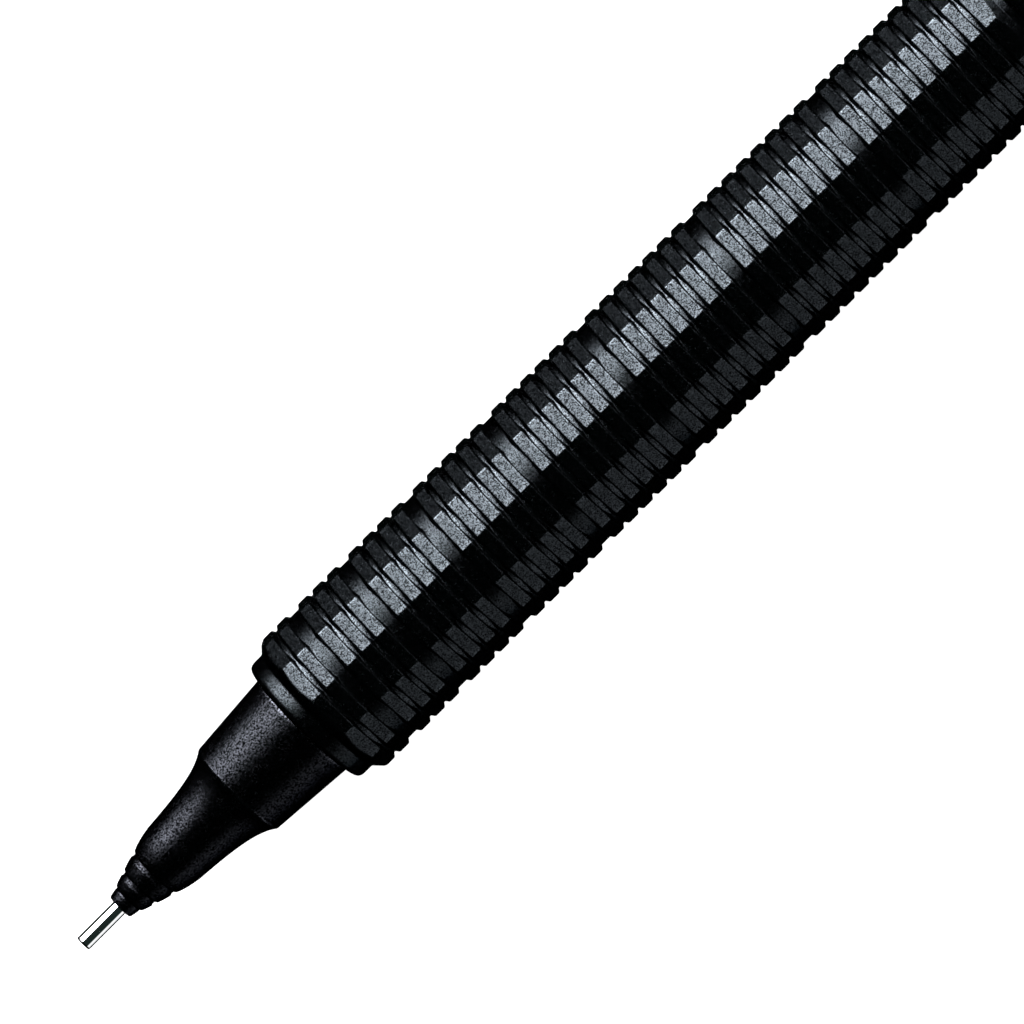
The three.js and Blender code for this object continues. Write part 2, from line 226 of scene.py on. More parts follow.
def grooves(count, first, pitch, width, slope, radius, depth, soft):
    """Turned grooves: each falls to its floor over slope, and rises again to end at its full width."""
    outline = []
    for groove in range(count):
        front = first + groove * pitch
        rear = front + width
        outline += [(front, radius, soft), (front + slope, radius - depth, soft)]
        outline += [(rear - slope, radius - depth, soft), (rear, radius, soft)]
    return outline


def give_painted_light_tones(piece, tones):
    """Writes one value per vertex, which the piece's material multiplies its colour by: painted light, lower
    than 1 for painted shade and higher for a painted highlight.
    """
    attribute = piece.data.attributes.new("tone", "FLOAT", "POINT")
    attribute.data.foreach_set("value", tones)


# ---------------------------------------------------------------- barrel


def land_radius(angle):
    """Radius of the twelve-sided section at an angle, with its corners rounded."""
    from_corner = (angle - HALF_FACET) % (2 * HALF_FACET)
    from_corner = math.radians(min(from_corner, 2 * HALF_FACET - from_corner))
    corner_turn = math.radians(HALF_FACET)
    centre = (FACET_RADIUS - CORNER_ROUND) / math.cos(corner_turn)
    touch = math.atan2(CORNER_ROUND * math.sin(corner_turn), centre + CORNER_ROUND * math.cos(corner_turn))
    if from_corner >= touch:
        return FACET_RADIUS / math.cos(corner_turn - from_corner)
    across = centre * math.sin(from_corner)
    return centre * math.cos(from_corner) + math.sqrt(CORNER_ROUND ** 2 - across ** 2)


def facet_angles():
    """Angles around the barrel, close together at each corner, with the tone of each: a painted highlight
    along each corner, rising toward it.
    """
    corner_highlight_tone = 2.0
    beside_corner = [(13.8, 1.3), (14.45, 1.7), (14.73, corner_highlight_tone)]
    steps = [(step, 1) for step in (-9.2, -4.6, 0, 4.6, 9.2)]
    steps += [(-HALF_FACET, corner_highlight_tone)]
    steps += [(way * step, tone) for step, tone in beside_corner for way in (-1, 1)]
    return sorted((2 * HALF_FACET * side + step, tone) for side in range(SIDES) for step, tone in steps)


def rib_rows(front, rear):
    """The rows of one rib, each a function from the land's radius to (station, radius).

    A rib's side is a slope with a rounded edge above it and a fillet below it, longer at its front.
    """
    edge, edge_drop = 0.08, 0.006
    front_fillet, rear_fillet = 0.15, 0.1
    narrowest_floor = RIB_PITCH - RIB_LAND

    def floor_row(start, way, share, rise):
        def row(land):
            run = (land - CORE_RADIUS) / RIB_SLOPE
            longest = front_fillet if way < 0 else rear_fillet
            fillet = min(longest, 0.4 * (narrowest_floor - 2 * run))
            return start + way * (run + share * fillet), CORE_RADIUS + rise * fillet
        return row

    def slope_row(start, way, share):
        return lambda land: (
            start + way * share * (land - CORE_RADIUS) / RIB_SLOPE,
            land - share * (land - CORE_RADIUS),
        )

    def land_row(start, way, inward, drop):
        return lambda land: (start - way * inward, land - drop)

    def side(start, way, fillet_share, fillet_rise):
        return [
            floor_row(start, way, 1, 0),
            floor_row(start, way, fillet_share, fillet_rise),
            slope_row(start, way, 0.78),
            slope_row(start, way, 0.22),
            land_row(start, way, 0.35 * edge, edge_drop),
            land_row(start, way, edge, 0),
        ]

    return side(front, -1, 0.3, 0.08) + side(rear, 1, 0.15, 0.13)[::-1]


def rib_fronts():
    """The station of each rib's front, as one list for each group."""
    fronts = []
    station = FIRST_RIB
    for count in RIB_GROUPS:
        fronts.append([station + rib * RIB_PITCH for rib in range(count)])
        station += (count - 1) * RIB_PITCH + GROUP_STEP
    return fronts


# Painted light on the barrel, as tones of its colour: the turned bands, the collar and its cone, the neck and
# the lower rib slopes are painted darker than the flat ribs, a painted shade; the floors of the narrow
# grooves inside a group are painted lighter, a painted highlight.
BAND_SHADE_TONE = 0.75
GROOVE_HIGHLIGHT_TONE = 1.4


def at(station, radius):
    """A round row."""
    return lambda land: (station, radius)


def below_land(station, depth):
    """A twelve-sided row, this deep below the land's surface."""
    return lambda land: (station, land - depth)


def on_cone(share):
    """A row on the turned cone between the collar and the first rib."""
    return lambda land: (
        COLLAR["rear"] + share * (land - COLLAR["radius"]) / CONE_SLOPE,
        COLLAR["radius"] + share * (land - COLLAR["radius"]),
    )


def turned_edge(station, radius, slope, past, depth):
    """A row near the edge of a land that a cone cuts; the cone has this radius at this station."""
    return lambda land: (station + (land - radius) / slope + past, land - depth)


def with_painted_light_tone(tone, *rows):
    """Rows with their tone of painted light beside the flat ribs' 1: lower is painted shade, higher a painted
    highlight.
    """
    return [(row, tone) for row in rows]


def collar_rows(front):
    """From the front face over the collar and its cone to the first rib's land."""
    rear, radius, front_radius = COLLAR["rear"], COLLAR["radius"], COLLAR["front_radius"]
    round_corner = bezier([(front, front_radius), (front, radius), (front + COLLAR["corner"], radius)], 6)
    outline = [(front, FRONT_SEAT["radius"] + 0.08), (front, front_radius - 0.07)] + round_corner
    outline += [(rear - 0.1, radius), (rear, radius + 0.02)]
    # The collar and its cone carry painted shade.
    rows = with_painted_light_tone(BAND_SHADE_TONE, *[at(*point) for point in outline])
    rows += with_painted_light_tone(BAND_SHADE_TONE, on_cone(0.08), on_cone(0.5), on_cone(0.86))
    for past, depth in ((0.02, 0.03), (0.09, 0.008), (0.17, 0)):
        rows += with_painted_light_tone(1, turned_edge(rear, radius, CONE_SLOPE, past, depth))
    return rows


def ribbed_rows():
    """All ribs, the first without its front side and the last without its rear side."""
    groups = rib_fronts()
    rows = []
    for number, group in enumerate(groups):
        for front in group:
            # Floors between groups carry painted shade, floors inside a group a painted highlight.
            before = BAND_SHADE_TONE if front == group[0] else GROOVE_HIGHLIGHT_TONE
            after = BAND_SHADE_TONE if front == group[-1] else GROOVE_HIGHLIGHT_TONE
            # The rib's rows from front to rear: the lower slopes carry painted shade; the rounded front edge
            # (1.3), the rounded rear edge (1.6) and the top of the rear slope (1.2) carry painted highlights.
            tones = [before, before, BAND_SHADE_TONE, 1, 1.3, 1, 1, 1.6, 1.2, BAND_SHADE_TONE, after, after]
            rib = list(zip(rib_rows(front, front + RIB_LAND), tones))
            half = len(rib) // 2
            if front == groups[0][0]:
                rib = rib[half:]
            if front == groups[-1][-1]:
                rib = rib[:half]
            rows += rib
        if number < len(groups) - 1:
            middle = 0.5 * (group[-1] + RIB_LAND + groups[number + 1][0])
            # The band between two groups carries painted shade.
            rows += with_painted_light_tone(BAND_SHADE_TONE, at(middle, CORE_RADIUS))
    return rows


def neck_rows():
    """The last rib's turned rear edge, the neck behind it and the shoulder of the smooth barrel."""
    front, rear, radius, slope = NECK["front"], NECK["rear"], NECK["radius"], NECK["slope"]
    rows = []
    for past, depth in ((-0.05, 0), (0.015, 0.012)):
        rows += with_painted_light_tone(1, turned_edge(LAST_RIB["rear"], FACET_RADIUS, -LAST_RIB["slope"], past, depth))
    # The neck carries painted shade.
    rows += with_painted_light_tone(BAND_SHADE_TONE, at(front - 0.05, radius + 0.05), at(front + 0.04, radius))
    rows += with_painted_light_tone(BAND_SHADE_TONE, at(rear - 0.04, radius), at(rear + 0.06, radius + 0.05))
    for past, depth in ((0, 0.04), (0.08, 0)):
        rows += with_painted_light_tone(1, turned_edge(rear, radius, slope, past, depth))
    return rows


def end_and_bore_rows(front, rear):
    """The rounded rear end, then the bore from rear to front with a seat at each end."""
    rows = [below_land(rear - 0.3, 0), below_land(rear - 0.2, 0.03)]
    rows += [at(rear - 0.03, BARREL_END["radius"]), at(rear, BARREL_END["face_radius"])]
    rows += [at(rear, REAR_SEAT["radius"] + 0.05), at(rear - 0.1, REAR_SEAT["radius"])]
    rows += [at(REAR_SEAT["front"], REAR_SEAT["radius"]), at(REAR_SEAT["front"], BARREL_BORE)]
    rows += [at(FRONT_SEAT["rear"], BARREL_BORE), at(FRONT_SEAT["rear"], FRONT_SEAT["radius"])]
    rows += [at(front + 0.08, FRONT_SEAT["radius"])]
    return with_painted_light_tone(1, *rows)


def make_barrel():
    front, rear = ends_of("barrel")
    rows = collar_rows(front) + ribbed_rows() + neck_rows() + end_and_bore_rows(front, rear)
    angles = facet_angles()
    vertices = []
    numbers = []
    tones = []
    for row, tone in rows:
        numbers.append(list(range(len(vertices), len(vertices) + len(angles))))
        for angle, corner_highlight_tone in angles:
            # The corners' painted highlight goes only on rows that carry no painted shade.
            tones.append(max(tone, corner_highlight_tone) if tone >= 1 else tone)
            station, radius = row(land_radius(angle))
            vertices.append(place(station, radius, angle))
    piece = smooth_mesh("barrel_ribbed", vertices, band_faces(numbers, True))
    give_painted_light_tones(piece, tones)
    return piece


# ---------------------------------------------------------------- nose and guide pipe


def paint_edge_highlights(piece, stations, reach, least_radius, shine):
    """Paints a highlight on a piece's outer edges at some stations: a higher tone than the rest of it."""
    tones = []
    for vertex in piece.data.vertices:
        station = (vertex.co.x - TIP) / MM
        radius = math.hypot(vertex.co.y, vertex.co.z - AXIS_Z) / MM
        near = radius > least_radius and any(abs(station - edge) < reach for edge in stations)
        tones.append(shine if near else 1.0)
    give_painted_light_tones(piece, tones)


def make_guide_pipe():
    """A plain tube whose front end is painted almost black: a painted shade line at its tip."""
    _, rear = ends_of("guide_pipe")
    radius, bore = 0.515, 0.34
    painted_shade_end, painted_shade_tone = 0.12, 0.001
    outer = [(0, radius, 0.07), (painted_shade_end, radius), (painted_shade_end + 0.02, radius), (rear, radius, 0.03)]
    piece = turned("guide_pipe_tube", outer, [(rear, bore, 0.02), (0, bore, 0.03)], 64)
    stations = [(vertex.co.x - TIP) / MM for vertex in piece.data.vertices]
    # The front end carries painted shade, almost black.
    give_painted_light_tones(piece, [painted_shade_tone if station < painted_shade_end + 0.01 else 1.0 for station in stations])
    return piece


def nose_rings(front):
    """Three steps, each rising to a rounded crest and falling to a narrow valley before the next."""
    return [
        (front, 0.86, 0.05), (3.56, 0.945, 0.1), (3.84, 0.982, 0.05), (3.94, 0.955, 0.03),
        (4.0, 1.08, 0.04), (4.2, 1.185, 0.08), (4.45, 1.265, 0.08), (4.67, 1.33, 0.05), (4.8, 1.272, 0.04),
        (4.98, 1.285, 0.03),
        (5.07, 1.455, 0.04), (5.4, 1.575, 0.1), (5.68, 1.654, 0.08), (5.91, 1.712, 0.05), (6.05, 1.652, 0.04),
        (6.22, 1.66, 0.03),
        (6.33, 1.82, 0.04), (6.64, 1.955, 0.1), (7.25, 2.125, 0.25),
    ]


def make_nose_cone():
    front, tail_rear = ends_of("nose_cone")
    rear, rear_radius, tail_radius = NOSE["rear"], NOSE["rear_radius"], NOSE["tail_radius"]
    bores = NOSE_BORES
    corner = FLARE[-1][0]
    outer = nose_rings(front) + bezier(FLARE, 24)
    outer += [(corner + 0.06, 3.42), (corner + 0.16, 3.432), (rear - 0.2, rear_radius - 0.012)]
    outer += [(rear, rear_radius, 0.07), (rear, tail_radius, 0.05)]
    outer += grooves(11, rear + 0.6, 0.6, 0.55, 0.15, tail_radius, 0.18, 0.05)
    outer += [(tail_rear, tail_radius, 0.2)]
    inner = [(tail_rear, bores["casing"], 0.1), (bores["casing_front"], bores["casing"])]
    inner += [(bores["casing_front"], bores["slider"]), (bores["slider_front"], bores["slider"])]
    inner += [(bores["slider_front"], bores["pipe"]), (front, bores["pipe"], 0.03)]
    piece = turned("nose_cone_body", outer, inner, 160)
    # Painted highlights: bright rims at the front edge of the nose's straight part and at its rear edge.
    paint_edge_highlights(piece, [corner + 0.03, rear - 0.04], reach=0.06, least_radius=3.3, shine=4.0)
    return piece


# ---------------------------------------------------------------- rear end


def make_rear_bush():
    front, rear = ends_of("rear_bush")
    thread, bore = 4.3, 2.98
    flange_front, flange = 129.87, 5.124
    well_front, well = 124.3, 3.78
    outer = [(front, thread - 0.3, 0.05), (front + 0.3, thread, 0.05)]
    outer += grooves(11, front + 0.8, 0.7, 0.6, 0.2, thread, 0.2, 0.05)
    outer += [(flange_front, thread), (flange_front, flange, 0.1), (rear - 0.35, flange, 0.12)]
    outer += [(rear, flange - 0.33, 0.12)]
    inner = [(rear, well, 0.12), (well_front, well), (well_front, bore), (front, bore, 0.05)]
    return turned("rear_bush_turned", outer, inner, 120)


def make_clip_ring():
    front, rear = ends_of("clip_ring")
    outside, inside = 5.0, 4.42
    outer = [(front, outside, 0.12), (rear, outside, 0.12)]
    return turned("clip_ring_band", outer, [(rear, inside, 0.08), (front, inside, 0.08)], 120)


CLIP = {"root": 129.3, "root_height": 5.42, "bend": 0.7}
CLIP_SHEET = {"thickness": 0.6, "root_width": 3.5, "tip_width": 2.7}


def clip_centre_line():
    """Middle of the clip's sheet from its root to its raised tip, as (station, height above the axis)."""
    low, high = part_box("clip_arm")
    front = (low[0] - TIP) / MM
    root, bend = CLIP["root"], CLIP["bend"]
    top = (high[2] - AXIS_Z) / MM - 0.5 * CLIP_SHEET["thickness"]
    arm = top - 0.33
    foot, foot_height = front + 3.4, FACET_RADIUS + 0.32 + 0.5 * CLIP_SHEET["thickness"]
    line = [(root, CLIP["root_height"])]
    line += bezier([(root, top - bend), (root, top), (root - bend, top)], 6)
    line += bezier([(root - bend, top), (110, top + 0.02), (foot + 3.4, arm)], 16)[1:]
    line += bezier([(foot + 3.4, arm), (foot + 1.6, arm), (foot + 0.4, foot_height)], 8)[1:]
    tip = (front + 0.25, arm - 0.1)
    line += bezier([(foot + 0.4, foot_height), (foot - 0.5, foot_height - 0.05), tip], 8)[1:]
    return line


def signed_power(value, power):
    return math.copysign(abs(value) ** power, value)


def make_clip_arm():
    """Bent sheet with rounded edges: wide at its root, a little narrower toward its foot."""
    line = clip_centre_line()
    root_width, tip_width = CLIP_SHEET["root_width"], CLIP_SHEET["tip_width"]
    width_at_ends = (0.72, 0.93)
    stations = [station for station, _ in line]
    front, rear = min(stations), max(stations)
    section = 20
    vertices = []
    rows = []
    for i, (station, height) in enumerate(line):
        before = Vector(line[max(i - 1, 0)])
        after = Vector(line[min(i + 1, len(line) - 1)])
        along = (after - before).normalized()
        across = Vector((along.y, -along.x))
        width = tip_width + (root_width - tip_width) * (station - front) / (rear - front)
        from_end = min(i, len(line) - 1 - i)
        if from_end < len(width_at_ends):
            width *= width_at_ends[from_end]
        rows.append(list(range(len(vertices), len(vertices) + section)))
        for step in range(section):
            turn = 2 * math.pi * step / section
            side = signed_power(math.cos(turn), 0.18) * 0.5 * width
            out = signed_power(math.sin(turn), 0.35) * 0.5 * CLIP_SHEET["thickness"]
            point = Vector((station, height)) + across * out
            vertices.append((TIP + point.x * MM, side * MM, AXIS_Z + point.y * MM))
    return smooth_mesh("clip_arm_sheet", vertices, capped_faces(rows))


def make_eraser_holder():
    front, rear = ends_of("eraser_holder")
    radius, cup_bore, skirt_bore = 2.74, 2.24, 2.4
    stop_front, stop_rear, stop_bore = 127.1, 127.9, 1.8
    bead_front, bead_rear, bead = 132.6, 133.4, 2.86
    outer = [(front, radius - 0.1, 0.05), (front + 0.4, radius, 0.1), (bead_front, radius, 0.1)]
    outer += [(bead_front + 0.25, bead, 0.15), (bead_rear - 0.25, bead, 0.15), (bead_rear, radius, 0.1)]
    outer += [(rear, radius, 0.12)]
    inner = [(rear, cup_bore, 0.1), (stop_rear, cup_bore), (stop_rear, stop_bore), (stop_front, stop_bore)]
    inner += [(stop_front, skirt_bore), (front, skirt_bore, 0.1)]
    return turned("eraser_holder_tube", outer, inner)


def make_eraser():
    front, rear = ends_of("eraser")
    return turned("eraser_plug", [(front, 2.05, 0.1), (rear, 2.1, 0.55)])


def make_knock_cap():
    front, _ = ends_of("knock_cap")
    radius, bore, floor, edge = 3.58, 2.97, 141.8, 0.5
    outer = [(front, 3.2, 0.05), (front + 0.25, radius, 0.15)]
    outer += grooves(3, 136.6, 1.3, 0.5, 0.08, radius, 0.25, 0.07)
    outer += [(LENGTH - edge, radius, 0.25), (LENGTH, radius - edge, 0.25), (LENGTH, 0)]
    inner = [(floor, 0), (floor, bore, 0.4), (front, bore, 0.08)]
    return turned("knock_cap_turned", outer, inner, 120)


# ---------------------------------------------------------------- inside


def helix(name, node, wire, turns, widened):
    """A compression spring with closed ends, in its CAD solid's place; widened is added to its radius."""
    low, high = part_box(node)
    radius = 0.5 * (high[2] - low[2]) / MM + widened - 0.5 * wire
    front, rear = ends_of(node)
    first, last = front + 0.5 * wire, rear - 0.5 * wire
    steps = 28 * turns
    sides = 10
    end_turns = 0.8
    vertices = []
    rows = []
    for step in range(steps + 1):
        turn = turns * step / steps
        closed = min(turn, end_turns) + min(max(turn - turns + end_turns, 0), end_turns)
        share = min(max((turn - end_turns) / (turns - 2 * end_turns), 0), 1)
        station = first + 0.5 * wire * closed + share * (last - first - wire * end_turns)
        rows.append(list(range(len(vertices), len(vertices) + sides)))
        for side in range(sides):
            around = 2 * math.pi * side / sides
            along, out = 0.5 * wire * math.sin(around), 0.5 * wire * math.cos(around)
            vertices.append(place(station + along, radius + out, 360 * turn))
    return smooth_mesh(name, vertices, capped_faces(rows))


def make_ball(name, node):
    low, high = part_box(node)
    centre = 0.5 * (Vector(low) + Vector(high))
    mesh = bpy.data.meshes.new(name)
    shape = bmesh.new()
    bmesh.ops.create_uvsphere(shape, u_segments=32, v_segments=20, radius=0.5 * (high[0] - low[0]))
    bmesh.ops.translate(shape, verts=shape.verts, vec=centre)
    shape.to_mesh(mesh)
    shape.free()
    mesh.shade_smooth()
    return add_object(name, mesh)


def make_slider():
    front, rear = ends_of("slider")
    flange_rear, flange, stem = 8.5, 1.56, 1.04
    pocket_front, pocket = 9.3, 0.87
    pipe_rear, pipe_seat, passage = 9.05, 0.53, 0.35
    outer = [(front, flange, 0.1), (flange_rear, flange, 0.08), (flange_rear, stem), (rear, stem, 0.1)]
    inner = [(rear, pocket, 0.03), (pocket_front, pocket), (pocket_front, passage), (pipe_rear, passage)]
    inner += [(pipe_rear, pipe_seat), (front, pipe_seat, 0.03)]
    return turned("slider_turned", outer, inner)


def make_lead_retainer():
    front, rear = ends_of("lead_retainer")
    radius, mouth = 0.8, 0.46
    grip_front, grip_rear, grip = 9.9, 10.3, 0.34
    outer = [(front, radius, 0.08), (rear, radius, 0.08)]
    inner = [(rear, mouth, 0.05), (grip_rear, grip, 0.1), (grip_front, grip, 0.1), (front, mouth, 0.05)]
    return turned("lead_retainer_ring", outer, inner)


def make_clutch_casing():
    front, rear = ends_of("clutch_casing")
    radius, bore = 2.78, 2.62
    wall_rear, wall_bore = front + 0.6, 1.07
    step_front, step_rear, step_bore = 24.2, 24.9, 1.42
    inner = [(rear, bore, 0.04), (step_rear, bore), (step_rear, step_bore, 0.05)]
    inner += [(step_front, step_bore, 0.05), (step_front, bore), (wall_rear, bore)]
    inner += [(wall_rear, wall_bore, 0.05), (front, wall_bore, 0.05)]
    return turned("clutch_casing_tube", [(front, radius, 0.15), (rear, radius, 0.08)], inner)


def make_clutch_sleeve():
    front, rear = ends_of("clutch_sleeve")
    radius, bore = 2.5, 1.8
    groove_front, groove_rear, groove = 19.0, 19.3, 2.42
    race_rear, race_front_radius, race_rear_radius = 21.4, 2.18, 1.92
    outer = [(front, radius, 0.1), (groove_front, radius, 0.05), (groove_front, groove, 0.04)]
    outer += [(groove_rear, groove, 0.04), (groove_rear, radius, 0.05), (rear, radius, 0.1)]
    inner = [(rear, bore, 0.08), (race_rear, bore), (race_rear, race_rear_radius, 0.05)]
    inner += [(front, race_front_radius, 0.06)]
    return turned("clutch_sleeve_race", outer, inner)


def make_tube_connector():
    front, rear = ends_of("tube_connector")
    jaw_sleeve, jaw_bore, jaw_bore_rear = 1.72, 1.32, 30.5
    seat_front, seat_rear, seat = 34.3, 35.1, 2.46
    plug, plug_rear, plug_end = 1.68, 38.2, 1.5
    lead_bore, funnel_front, funnel = 0.62, 38.0, 1.22
    outer = [(front, jaw_sleeve, 0.1), (seat_front, jaw_sleeve), (seat_front, seat, 0.08)]
    outer += [(seat_rear, seat, 0.08), (seat_rear, plug), (plug_rear, plug, 0.05), (rear, plug_end, 0.08)]
    inner = [(rear, funnel, 0.05), (funnel_front, lead_bore, 0.1), (jaw_bore_rear, lead_bore)]
    inner += [(jaw_bore_rear, jaw_bore), (front, jaw_bore, 0.08)]
    return turned("tube_connector_turned", outer, inner)


def make_lead_tube():
    front, rear = ends_of("lead_tube")
    collar, collar_length, radius, bore = 2.27, 2.5, 2.2, 1.79
    outer = [(front, collar, 0.06), (front + collar_length, collar, 0.05)]
    outer += [(front + collar_length + 0.1, radius, 0.05), (rear - 0.5, radius, 0.05), (rear, 2.12, 0.05)]
    return turned("lead_tube_moulded", outer, [(rear, bore, 0.05), (front, bore, 0.05)])


def make_lead(node):
    low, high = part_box(node)
    front, rear = ends_of(node)
    radius = 0.278
    sideways = 0.5 * (low[1] + high[1])
    lift = 0.5 * (low[2] + high[2]) - AXIS_Z
    stick = turned(node + "_stick", [(front, radius, 0.04), (rear, radius, 0.04)], (), 24)
    stick.data.transform(Matrix.Translation((0, sideways, lift)))
    return stick


def make_front_bush():
    front, rear = ends_of("front_bush")
    radius, bore, thread_depth = 3.93, 3.5, 0.15
    outer = [(front, 3.7, 0.05), (front + 0.3, radius, 0.06), (rear, radius, 0.06)]
    inner = [(rear, bore, 0.1)]
    for turn in range(9):
        station = rear - 0.8 - turn * 0.75
        inner += [(station, bore, 0.05), (station - 0.2, bore + thread_depth, 0.05)]
        inner += [(station - 0.4, bore, 0.05)]
    inner += [(front, bore, 0.1)]
    return turned("front_bush_threaded", outer, inner, 120)


# ---------------------------------------------------------------- materials


def shader_of(material):
    return material.node_tree.nodes["Principled BSDF"]


def principled(name, color, roughness, metallic=0.0, **sockets):
    material = bpy.data.materials.new(name)
    material.use_nodes = True
    inputs = shader_of(material).inputs
    inputs["Base Color"].default_value = (*color, 1)
    inputs["Roughness"].default_value = roughness
    inputs["Metallic"].default_value = metallic
    for socket, value in sockets.items():
        inputs[socket.replace("_", " ")].default_value = value
    return material


def add(owner, kind, **settings):
    """A new node in a material or in the world."""
    node = owner.node_tree.nodes.new(kind)
    for key, value in settings.items():
        setattr(node, key, value)
    return node


def feed(owner, value, socket):
    """Gives a node's socket a value, or a link from another node's socket."""
    if isinstance(value, bpy.types.NodeSocket):
        owner.node_tree.links.new(value, socket)
    else:
        socket.default_value = value


def noise(owner, size_mm, detail=2.0, stretch=(1, 1, 1)):
    """Noise whose features are about size_mm across; its output runs from 0 to 1."""
    mapping = add(owner, "ShaderNodeMapping")
    feed(owner, add(owner, "ShaderNodeTexCoord").outputs["Object"], mapping.inputs["Vector"])
    feed(owner, stretch, mapping.inputs["Scale"])
    texture = add(owner, "ShaderNodeTexNoise")
    feed(owner, mapping.outputs["Vector"], texture.inputs["Vector"])
    feed(owner, 1 / (size_mm * MM), texture.inputs["Scale"])
    feed(owner, detail, texture.inputs["Detail"])
    return texture.outputs["Fac"]


def ramp(owner, value, stops):
    """Blends between stops, each a position from 0 to 1 and a colour."""
    node = add(owner, "ShaderNodeValToRGB")
    elements = node.color_ramp.elements
    elements.remove(elements[-1])
    elements[0].position = stops[0][0]
    elements[0].color = (*stops[0][1], 1)
    for position, color in stops[1:]:
        elements.new(position).color = (*color, 1)
    feed(owner, value, node.inputs["Fac"])
    return node.outputs["Color"]


def spread(owner, value, low, high, out_low, out_high, **settings):
    """Maps the range from low to high onto the range from out_low to out_high."""
    node = add(owner, "ShaderNodeMapRange", **settings)
    feed(owner, value, node.inputs["Value"])
    limits = {"From Min": low, "From Max": high, "To Min": out_low, "To Max": out_high}
    for socket, limit in limits.items():
        feed(owner, limit, node.inputs[socket])
    return node.outputs["Result"]


def scaled(color, factor):
    return tuple(factor * c for c in color)


def set_surface(material, color, grain, grain_height, roughness=None):
    """Links a colour, bumps from a grain, their height in millimetres, and perhaps a roughness."""
    inputs = shader_of(material).inputs
    relief = add(material, "ShaderNodeBump")
    feed(material, grain_height * MM, relief.inputs["Distance"])
    feed(material, 1.0, relief.inputs["Strength"])
    feed(material, grain, relief.inputs["Height"])
    feed(material, relief.outputs["Normal"], inputs["Normal"])
    feed(material, color, inputs["Base Color"])
    if roughness is not None:
        feed(material, roughness, inputs["Roughness"])


def painted_light_toned(material, color):
    """The colour multiplied by the piece's tone of painted light."""
    tone = add(material, "ShaderNodeAttribute", attribute_name="tone")
    product = add(material, "ShaderNodeVectorMath", operation="SCALE")
    feed(material, color, product.inputs[0])
    feed(material, tone.outputs["Fac"], product.inputs["Scale"])
    return product.outputs["Vector"]


def powder_black(name, color, roughness, grain_mm, grain_height, contrast):
    """Black finish with fine metal powder in it: grey flecks, a grainy gloss and a faint mottle."""
    material = principled(name, color, roughness, 1.0, Specular_Tint=(0.12, 0.12, 0.12, 1))
    flecks = noise(material, grain_mm, 3.0)
    dark, light = scaled(color, 1 - contrast), scaled(color, 1 + contrast)
    speckle = ramp(material, flecks, [(0.41, dark), (0.59, light)])
    mottle = noise(material, 4 * grain_mm, 2.0)
    gloss = spread(material, mottle, 0.3, 0.7, roughness - 0.04, roughness + 0.05)
    # The flecks' colour is multiplied by the piece's painted light tone.
    set_surface(material, painted_light_toned(material, speckle), flecks, grain_height, gloss)
    return material


def turned_metal(name, color, roughness, ring_mm=0.05):
    """Lathe-turned metal: fine rings around the pencil's axis and a slight change of tone."""
    material = principled(name, color, roughness, 1.0)
    rings = noise(material, 8 * ring_mm, 3.0, stretch=(8, 0.4, 0.4))
    patches = noise(material, 1.5, 2.0)
    tint = ramp(material, patches, [(0.3, scaled(color, 0.82)), (0.7, color)])
    gloss = spread(material, rings, 0.3, 0.7, roughness - 0.06, roughness + 0.1)
    set_surface(material, tint, rings, 0.003, gloss)
    return material


def polished_steel():
    """Steel with a slight change of gloss along it."""
    color = (0.86, 0.87, 0.88)
    material = principled("polished_steel", color, 0.07, 1.0, Specular_Tint=(0.15, 0.15, 0.15, 1))
    inputs = shader_of(material).inputs
    wear = noise(material, 0.3, 3.0, stretch=(1, 6, 6))
    feed(material, spread(material, wear, 0.3, 0.7, 0.05, 0.1), inputs["Roughness"])
    # The colour is multiplied by the piece's painted light tone, which paints shade on the guide pipe's front
    # end.
    feed(material, painted_light_toned(material, color), inputs["Base Color"])
    return material


def soft_material(name, color, roughness, grain_mm, height, **sockets):
    """A moulded soft or plastic surface: a slight change of tone and a fine grain."""
    material = principled(name, color, roughness, 0.0, **sockets)
    patches = noise(material, 2.0, 2.0)
    tint = ramp(material, patches, [(0.35, scaled(color, 0.9)), (0.65, color)])
    set_surface(material, tint, noise(material, grain_mm, 2.0), height)
    return material


BARREL_RESIN = powder_black("powder_filled_resin", (0.0129, 0.0147, 0.0166), 0.23, 0.08, 0.007, 0.9)
NOSE_METAL = powder_black("satin_black_metal", (0.0079, 0.0083, 0.0099), 0.24, 0.12, 0.02, 1.0)
CLIP_METAL = powder_black("satin_black_sheet", (0.012, 0.013, 0.0145), 0.3, 0.1, 0.004, 0.5)
PIPE_STEEL = polished_steel()
BRASS = turned_metal("turned_brass", (0.83, 0.62, 0.29), 0.24)
CLUTCH_STEEL = turned_metal("turned_steel", (0.62, 0.63, 0.65), 0.22)
SPRING_STEEL = turned_metal("spring_wire", (0.6, 0.61, 0.63), 0.2, 0.02)
RUBBER = soft_material("retainer_rubber", (0.02, 0.02, 0.022), 0.7, 0.05, 0.004)
TUBE_PLASTIC = soft_material("milky_plastic", (0.78, 0.8, 0.81), 0.35, 0.15, 0.003,
                             Subsurface_Weight=0.3, Subsurface_Scale=0.001)
GRAPHITE = soft_material("graphite_lead", (0.035, 0.035, 0.038), 0.42, 0.03, 0.003, Metallic=0.3)
ERASER = soft_material("eraser_vinyl", (0.86, 0.85, 0.82), 0.75, 0.12, 0.012)

# ---------------------------------------------------------------- pieces on their bodies


def dress(piece, node, material):
    """Gives a piece its look and hides the CAD node that it replaces."""
    if "tone" not in piece.data.attributes:
        give_painted_light_tones(piece, [1.0] * len(piece.data.vertices))
    piece.data.materials.clear()
    piece.data.materials.append(material)
    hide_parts(node)


